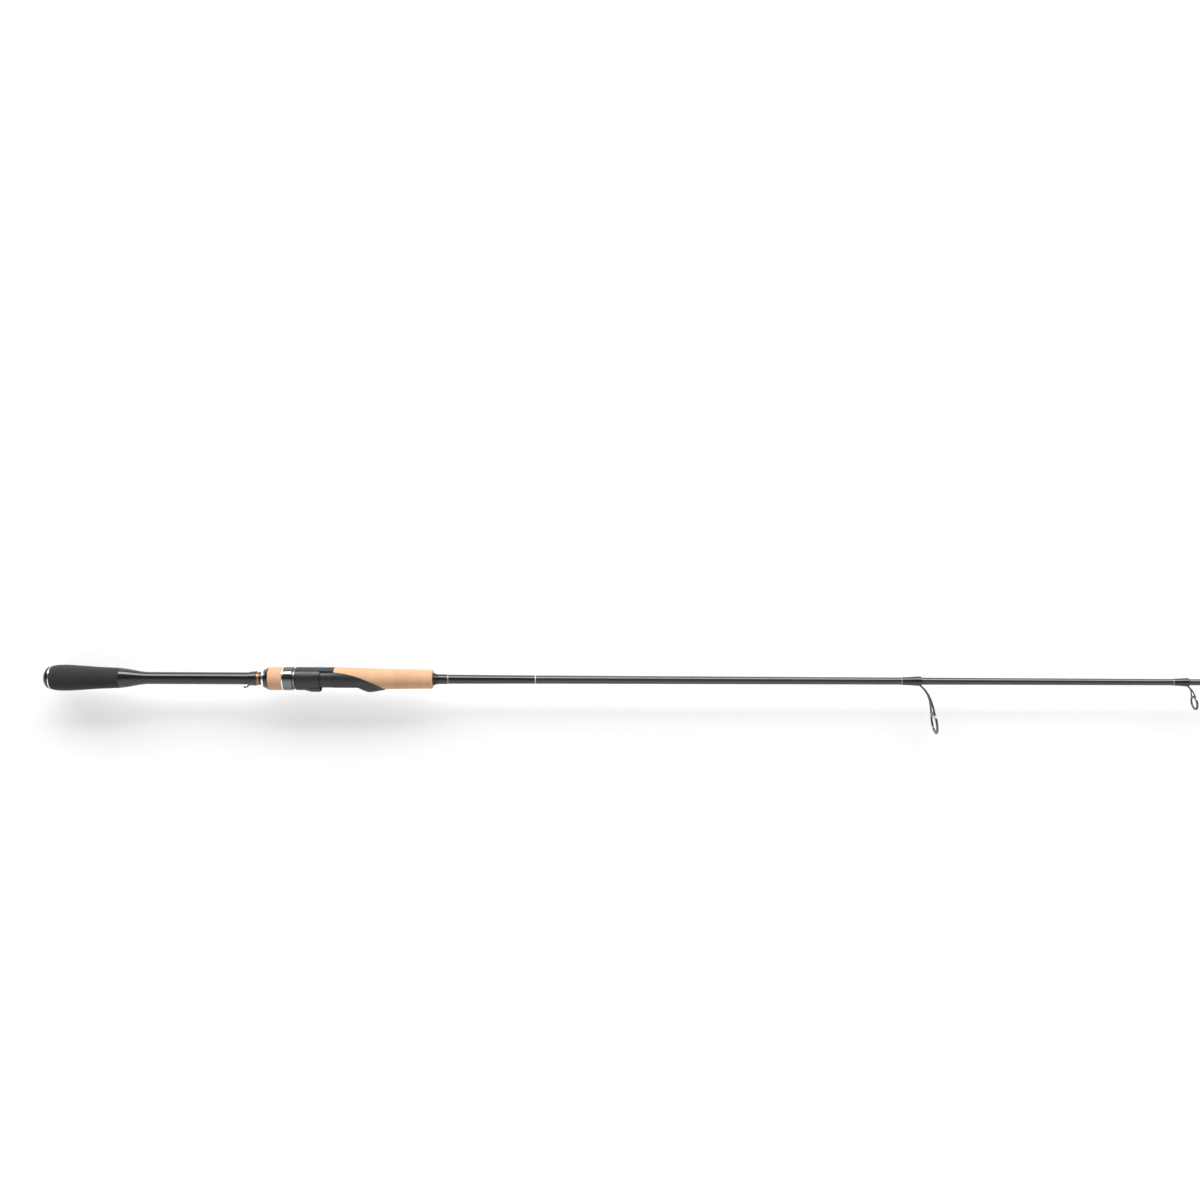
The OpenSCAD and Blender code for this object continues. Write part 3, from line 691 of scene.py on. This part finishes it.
def turned_ring(name, section, edge, material, steps=4):
    """A ring turned from its section's corners, with all but the first of them rounded."""
    return turned(name, softened([*section, section[0]], edge, steps)[:-1], material, closed=True)


low, high, radius = extent("nut_rear_ring")
rear_ring = turned_ring("nut_rear_bead", [(low, bore), (low, radius - 0.55 * MM), (low + 0.6 * MM, radius),
                                          (high - 0.4 * MM, radius), (high, radius - 0.3 * MM), (high, bore)],
                        0.3 * MM, polished)
stands_for(rear_ring, "lock_nut", "polished_metal", "nut_rear_ring")

low, high, radius = extent("nut_collar")
collar = turned_ring("nut_collar_ring", [(low, bore), (low, radius - 2.2 * MM),
                                         (low + 0.55 * (high - low), radius - 0.62 * MM),
                                         (high - 0.3 * MM, radius), (high, radius - 0.08 * MM), (high, bore)],
                     0.6 * MM, lacquer, steps=6)
stands_for(collar, "lock_nut", "gloss_black", "nut_collar")

# Nut's front ring: turned from polished dark metal, with a groove round it. Its rear edge, behind the
# groove, is left bright as a narrow lip.
gunmetal = handled("polished_gunmetal", (0.15, 0.16, 0.155), 0.12, 0.1, metallic=1.0)
low, high, radius = extent("nut_front_ring")
lip_end = low + 1.1 * MM
lip_radius = radius + 0.02 * MM
groove_radius = radius - 0.25 * MM
front_lip = turned_ring("nut_front_lip", [(low, core_radius), (low, radius - 0.2 * MM),
                                          (low + 0.25 * MM, lip_radius), (lip_end, lip_radius),
                                          (lip_end, core_radius)], 0.15 * MM, polished)
stands_for(front_lip, "lock_nut", "polished_metal")
grooved = [(low, core_radius), (low, radius - 0.2 * MM), (low + 0.25 * MM, radius), (lip_end, radius),
           (low + 1.3 * MM, groove_radius), (low + 1.6 * MM, groove_radius), (low + 1.8 * MM, radius),
           (high - 0.5 * MM, radius), (high, radius - 0.45 * MM), (high, core_radius)]
front_ring = turned_ring("nut_front_sleeve", grooved, 0.15 * MM, gunmetal)
stands_for(front_ring, "lock_nut", "gunmetal", "nut_front_ring")

# Cork: the nut's sleeve and the fore grip are turned from natural cork rings glued face to face, then
# sanded smooth. Short dark pores and a few filled pits run through each ring, and the rings differ a
# little in tone.
cork_ring = 12.7
cork, tree, shader = finish("sanded_cork", (0.66, 0.4, 0.225), 0.72, specular=0.25)
spot = group_in(tree, axis_group)
point = spot.outputs["Point"]
ring_count = calculated(tree, "DIVIDE", spot.outputs["Along"], cork_ring)
ring_number = calculated(tree, "FLOOR", ring_count)
ring_tone = shader_node(tree, "ShaderNodeTexWhiteNoise", [(ring_number, "W")], noise_dimensions="1D")
ring_shift = ranged(tree, ring_tone.outputs["Value"], 0, 1, 0.96, 1.03)
seam_line = ranged(tree, calculated(tree, "PINGPONG", ring_count, 0.5), 0, 0.014, 0.82, 1)
grain = noise(tree, stretched(tree, point, Scale=(0.9, 2.1, 2.1)), 1.3, 6, 0.7)
grain_tone = ranged(tree, grain, 0.3, 0.7, 0.9, 1.06)
pore_space = stretched(tree, point, Scale=(0.9, 0.35, 0.35))
pores = shader_node(tree, "ShaderNodeTexVoronoi", [(pore_space, "Vector")], Scale=0.62)
pore_size = calculated(tree, "MULTIPLY_ADD", noise(tree, point, 1.8, 4, 0.7), 0.35, pores.outputs["Distance"])
pore_mask = ranged(tree, pore_size, 0.24, 0.3, 1, 0)
cork_tone = blended(tree, noise(tree, point, 0.22, 7, 0.62), (0.44, 0.243, 0.137), (0.55, 0.342, 0.21))
shade = calculated(tree, "MULTIPLY", calculated(tree, "MULTIPLY", grain_tone, ring_shift), seam_line)
pitted = blended(tree, pore_mask, shaded(tree, cork_tone, shade), (0.16, 0.08, 0.04))
tree.links.new(pitted, shader.inputs["Base Color"])
relief(tree, shader, calculated(tree, "SUBTRACT", grain, pore_mask), 0.5, 0.12 * MM)

low, high, radius = extent("nut_cork")
nut_cork = turned_ring("nut_cork_sleeve", [(low, core_radius), (low, radius - 0.12 * MM),
                                           (low + 1.2 * MM, radius), (high, radius), (high, core_radius)],
                       0.25 * MM, cork)
stands_for(nut_cork, "lock_nut", "cork", "nut_cork")

# Thrust washer: a machined alloy ring between the nut and the hood, round the hood's threaded sleeve.
# The nut's core, all but hidden, is machined from the same metal.
machined = handled("machined_alloy", (0.16, 0.16, 0.17), 0.32, 0.2, bump=0.05, metallic=1.0)
low, high, radius = extent("thrust_washer")
washer_bore = extent("hood_tail")[2] + 0.1 * MM
washer = turned_ring("thrust_ring", [(low, washer_bore), (low, radius), (high, radius), (high, washer_bore)],
                     0.3 * MM, machined)
stands_for(washer, "rod", "machined_metal", "thrust_washer")


def in_finish(node, material):
    """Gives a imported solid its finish."""
    cad[node].data.materials.clear()
    cad[node].data.materials.append(material)


in_finish("nut_core", machined)

# Hood and seat: satin glass-filled nylon mouldings, with a fine blasted surface and soft edges. The
# hood's threaded sleeve runs inside the nut.
nylon, tree, shader = finish("satin_nylon", (0.015, 0.015, 0.016), 0.45)
point = group_in(tree, axis_group).outputs["Point"]
blasted = noise(tree, point, 6.0, 3, 0.6)
flow = noise(tree, point, 0.15, 5, 0.6)
tree.links.new(ranged(tree, flow, 0.3, 0.7, 0.36, 0.48), shader.inputs["Roughness"])
nylon_tone = blended(tree, flow, (0.005, 0.0052, 0.0056), (0.01, 0.0104, 0.011))
tree.links.new(nylon_tone, shader.inputs["Base Color"])
soft_edges = shader_node(tree, "ShaderNodeBevel", Radius=0.35 * MM)
relief(tree, shader, blasted, 0.3, 0.03 * MM, soft_edges.outputs[0])
in_finish("movable_hood", nylon)
in_finish("seat_body", nylon)

# Hood's threaded sleeve: moulded in the same nylon with a coarse trapezoid screw thread. The nut hides
# it while the seat is open, and it shows when the hood is run forward.
sleeve_wall = 1.04 * MM
sleeve_lead = 0.4 * MM
sleeve_rows = 160


def screw_thread():
    """Geometry tree: presses a screw thread into the outer wall of a tube round the rod's axis."""
    tree = bpy.data.node_groups.new("screw_thread", "GeometryNodeTree")
    tree.interface.new_socket("Geometry", in_out="INPUT", socket_type="NodeSocketGeometry")
    for name, value in (("Pitch", 1.5 * MM), ("Depth", 0.5 * MM), ("Outside", 8 * MM), ("Height", 0.0)):
        made = tree.interface.new_socket(name, in_out="INPUT", socket_type="NodeSocketFloat")
        made.default_value = value
    tree.interface.new_socket("Geometry", in_out="OUTPUT", socket_type="NodeSocketGeometry")
    take = tree.nodes.new("NodeGroupInput").outputs
    put_out = tree.nodes.new("NodeGroupOutput")
    where = shader_node(tree, "GeometryNodeInputPosition")
    parts = shader_node(tree, "ShaderNodeSeparateXYZ", [(where.outputs[0], 0)]).outputs
    lift = calculated(tree, "SUBTRACT", parts["Z"], take["Height"])
    turn = calculated(tree, "DIVIDE", calculated(tree, "ARCTAN2", parts["Y"], lift), -2 * math.pi)
    phase = calculated(tree, "ADD", calculated(tree, "DIVIDE", parts["X"], take["Pitch"]), turn)
    flank = ranged(tree, calculated(tree, "PINGPONG", phase, 0.5), 0.14, 0.32, 0, 1)
    cut = calculated(tree, "MULTIPLY", flank, take["Depth"])
    flat = shader_node(tree, "ShaderNodeCombineXYZ", [(parts["Y"], "Y"), (lift, "Z")])
    reach = shader_node(tree, "ShaderNodeVectorMath", [(flat.outputs[0], 0)], operation="LENGTH")
    unit = shader_node(tree, "ShaderNodeVectorMath", [(flat.outputs[0], 0)], operation="NORMALIZE")
    outer = calculated(tree, "COMPARE", reach.outputs["Value"], take["Outside"], 0.02 * MM)
    inward = calculated(tree, "MULTIPLY", calculated(tree, "MULTIPLY", cut, outer), -1)
    press = shader_node(tree, "GeometryNodeSetPosition", [(take["Geometry"], "Geometry"),
                                                          (shaded(tree, unit.outputs[0], inward), "Offset")])
    tree.links.new(press.outputs[0], put_out.inputs[0])
    return tree


low, high, radius = extent("hood_tail")
sleeve_bore = radius - sleeve_wall
wall = [(low, sleeve_bore), (low, radius - 0.5 * MM)]
for step in range(sleeve_rows + 1):
    wall.append((low + sleeve_lead + (high - low - sleeve_lead) * step / sleeve_rows, radius))
wall.append((high, sleeve_bore))
threaded = turned("threaded_sleeve", wall, nylon, closed=True, steps=96)
grown_by(threaded, screw_thread(), Outside=radius, Height=rod_axis.z)
stands_for(threaded, "hood", "seat_plastic", "hood_tail")

# Arbors: rings turned from rigid foam that pack the blank out to the seat's bore. They are glued in and
# nothing of them shows afterwards.
arbor_foam = finish("rigid_foam", (0.3, 0.27, 0.22), 0.9)[0]
in_finish("rear_arbor", arbor_foam)
in_finish("front_arbor", arbor_foam)

# Fore grip: the same ringed cork as the nut's sleeve, turned to a slow taper. Its rear is cut on a slant
# so that the seat's front runs into it in one long curve.
in_finish("fore_grip", cork)

# Winding check: a small turned and black anodised aluminium cone. It is slid down the blank and glued
# against the cork, whose end it covers.
cone_rim = 0.8 * MM
cone_steps = 16
anodised = handled("black_anodised", (0.02, 0.02, 0.022), 0.28, 0.15, metallic=0.6)
low, high, radius = extent("winding_check")
cone_end = extent("butt_wrap")[2] + 0.06 * MM
cone = [(low, 0), (low, radius), (low + cone_rim, radius)]
for step in range(1, cone_steps + 1):
    t = step / cone_steps
    cone.append((low + cone_rim + (high - low - cone_rim) * t, cone_end + (radius - cone_end) * (1 - t) ** 2))
check = turned("winding_cone", softened([*cone, (high, 0)], 0.25 * MM), anodised)
stands_for(check, "rod", "dark_metal", "winding_check")

# Blank: the tapered carbon tube that is the rod itself, solid at its tip. It is painted gloss black
# ahead of the grip, up to a thin light line, and beyond that its graphite shows through the clear coat.
butt_radius = 4.85 * MM
parallel_end = rod_tip - 1862 * MM
taper_mm = [(1762, 4.35), (1680, 3.95), (1350, 3.425), (1070, 3.0), (880, 2.15), (520, 1.275), (330, 1.1),
            (0, 0.725)]
taper_steps = 10
paint_end = butt_end + 453.4 * MM
line_width = 0.8 * MM
graphite, tree, shader = finish("graphite_blank", (0.035, 0.036, 0.038), 0.32, coat=1.0, specular=0.15)
spot = group_in(tree, axis_group)
fibres = noise(tree, stretched(tree, spot.outputs["Point"], Scale=(0.02, 2.6, 2.6)), 3.0, 4, 0.65)
bare_tone = blended(tree, fibres, (0.012, 0.0125, 0.0135), (0.034, 0.035, 0.037))
past_paint = calculated(tree, "GREATER_THAN", spot.outputs["Along"], paint_end / MM)
past_line = calculated(tree, "GREATER_THAN", spot.outputs["Along"], (paint_end + line_width) / MM)
painted = blended(tree, past_paint, (0.005, 0.005, 0.006), (0.42, 0.42, 0.42))
tree.links.new(blended(tree, past_line, painted, bare_tone), shader.inputs["Base Color"])
tree.links.new(calculated(tree, "MULTIPLY", past_line, 0.2), shader.inputs["Metallic"])

knots = [(rod_tip - from_tip * MM, radius * MM) for from_tip, radius in taper_mm]
start, tip_end, _ = extent("blank")
blank_shape = [(start, 0), (start, butt_radius), (parallel_end, butt_radius)]
for (x0, r0), (x1, r1) in zip(knots, knots[1:]):
    for step in range(taper_steps):
        t = step / taper_steps
        blank_shape.append((x0 + (x1 - x0) * t, r0 + (r1 - r0) * t))
blank_shape = [p for p in blank_shape if p[0] < tip_end - 1 * MM]
blank_shape += [(tip_end, 0.73 * MM), (tip_end, 0)]
blank = turned("graphite_tube", blank_shape, graphite, steps=64)
stands_for(blank, "rod", "blank_carbon", "blank")

# Butt wrap: black thread under epoxy that covers the step between the winding check and the blank, with
# a narrow trim of silver metallic thread in front of it.
silver = handled("silver_thread", (0.27, 0.275, 0.285), 0.4, 0.25, metallic=0.85, coat=0.3)


def blank_radius(x):
    """The blank's radius at a place along the rod."""
    for (x0, r0), (x1, r1) in zip(knots, knots[1:]):
        if x0 <= x <= x1:
            return r0 + (r1 - r0) * (x - x0) / (x1 - x0)
    return butt_radius


def silver_band(name, low, high):
    """A band of silver thread lying on the blank."""
    return trim_band(name, low, high, blank_radius(low) + 0.06 * MM, silver)


epoxied_wrap("butt_winding", "butt_wrap", extent("butt_wrap")[2] - 0.02 * MM)
low, high, _ = extent("butt_trim")
stands_for(silver_band("silver_band", low, high), "rod", "silver_trim", "butt_trim")

# Line guides: each is a bent and welded titanium frame with a tapered foot, two legs and a holder band
# round a polished dark ceramic ring. The foot is bound to the blank under a thread wrap, with a few
# turns of silver thread behind it.
guide_count = 8
heavy_guides = 2
leg_steps = 20
foot_steps = 8
heel_inset = 1.2 * MM
heel_half = 0.45 * MM
leg_spread = math.radians(40)
leg_overlap = 0.2 * MM
leave_slant = math.radians(38)
leave_pull = 0.4
arrive_slant = math.radians(80)
arrive_splay = 0.35
arrive_pull = 0.38
trim_width = 1.0 * MM
titanium = handled("satin_titanium", (0.12, 0.12, 0.125), 0.28, 0.2, bump=0.08, metallic=1.0)
ceramic = handled("polished_ceramic", (0.022, 0.022, 0.025), 0.09, 0.08)


def ring_on(tilt, name, inner, outer, width, edge, material, steps=96):
    """A ring with rounded edges about a guide's own axis."""
    half = width / 2
    corners = [(-half, inner), (-half, outer), (half, outer), (half, inner), (-half, inner)]
    turns = [2 * math.pi * step / steps for step in range(steps)]
    made = bmesh.new()
    rows = []
    for x, radius in softened(corners, edge, steps=5)[:-1]:
        rows.append([made.verts.new(tilt @ Vector((radius * math.cos(turn), radius * math.sin(turn), x)))
                     for turn in turns])
    for first, second in zip(rows, rows[1:] + rows[:1]):
        for step in range(steps):
            after = (step + 1) % steps
            made.faces.new((first[step], second[step], second[after], first[after]))
    return object_from(name, made, material, math.radians(60))


mounts = {m["name"]: m for m in frame["record"]["mounts"]}
trims = []
for i in range(1, guide_count + 1):
    guide_bore = mounts[f"guide_bore_{i}"]
    centre = Vector(guide_bore["pos_m"])
    axis = Vector(guide_bore["axis"]).normalized()
    tilt = Matrix.Translation(centre) @ axis.to_track_quat("Z", "Y").to_matrix().to_4x4()
    hole = guide_bore["dims"]["r_mm"] * MM
    holder = extent(f"guide_frame_{i}")[2]
    ring_outer = extent(f"guide_ring_{i}")[2]
    band_width = 0.8 * MM + 0.07 * holder
    ring = ring_on(tilt, f"ceramic_ring_{i}", hole, ring_outer, band_width + 0.3 * MM,
                   0.4 * (ring_outer - hole), ceramic)
    stands_for(ring, "rod", "ceramic", f"guide_ring_{i}")
    welded = [ring_on(tilt, f"holder_{i}", ring_outer - 0.02 * MM, holder, band_width, 0.15 * MM, titanium)]

    # The legs leave the wrap at a slant and steepen as they reach the ring.
    foot_low, foot_high, _ = extent(f"guide_wrap_{i}")
    leg = 0.085 * holder + 0.25 * MM if i <= heavy_guides else 0.36 * MM
    heel_drop = blank_radius(foot_high) + 0.45 * MM
    up_in_ring = (Vector((0, 0, 1)) - axis * axis.z).normalized()
    leave = Vector((math.cos(leave_slant), 0, -math.sin(leave_slant)))
    for way in (-1, 1):
        heel = Vector((foot_high - heel_inset, way * heel_half, -heel_drop)) + rod_axis
        outward = up_in_ring * math.cos(leg_spread) + Vector((0, way * math.sin(leg_spread), 0))
        toe = centre + outward * (holder - leg_overlap)
        arrive = Vector((math.cos(arrive_slant), way * arrive_splay, -math.sin(arrive_slant))).normalized()
        span = (toe - heel).length
        one, two = heel + leave * span * leave_pull, toe - arrive * span * arrive_pull
        path = []
        for step in range(leg_steps + 1):
            t = step / leg_steps
            path.append(heel * (1 - t) ** 3 + one * 3 * t * (1 - t) ** 2 + two * 3 * t * t * (1 - t)
                        + toe * t ** 3)
        welded.append(swept(f"leg_{i}_{way}", path, leg, 0.8 * leg, titanium, up=(1, 0, 0.3)))

    # The foot widens and sinks toward the heel.
    foot_drop = blank_radius(foot_low) + 0.1 * MM
    shares = [step / foot_steps for step in range(foot_steps + 1)]
    foot_path = [rod_axis + Vector((foot_low + 0.3 * MM + (foot_high - foot_low) * share, 0,
                                    -foot_drop - 0.35 * MM * share)) for share in shares]
    foot_widths = [(0.4 + 0.64 * share) * MM for share in shares]
    foot_depths = [(0.18 + 0.32 * share) * MM for share in shares]
    welded.append(swept(f"foot_{i}", foot_path, foot_widths, foot_depths, titanium))
    guide_wire = joined(f"guide_wire_{i}", welded)
    guide_wire.data.polygons.foreach_set("use_smooth", [True] * len(guide_wire.data.polygons))
    stands_for(guide_wire, "rod", "guide_metal", f"guide_frame_{i}")
    epoxied_wrap(f"guide_winding_{i}", f"guide_wrap_{i}", blank_radius(foot_low) + 0.3 * MM)
    trims.append(silver_band(f"trim_{i}", foot_low - trim_width, foot_low))
stands_for(joined("guide_bands", trims), "rod", "silver_trim", "guide_trims")

# Tip guide: a small titanium loop with its ceramic ring. The tube at its back is glued over the blank's
# end, and a wrap and a silver trim of its own dress the joint.
in_finish("tip_frame", titanium)
in_finish("tip_ring", ceramic)
epoxied_wrap("tip_winding", "tip_wrap", extent("tip_wrap")[2] - 0.45 * MM)
low, high, _ = extent("tip_trim")
stands_for(silver_band("tip_band", low, high), "rod", "silver_trim", "tip_trim")
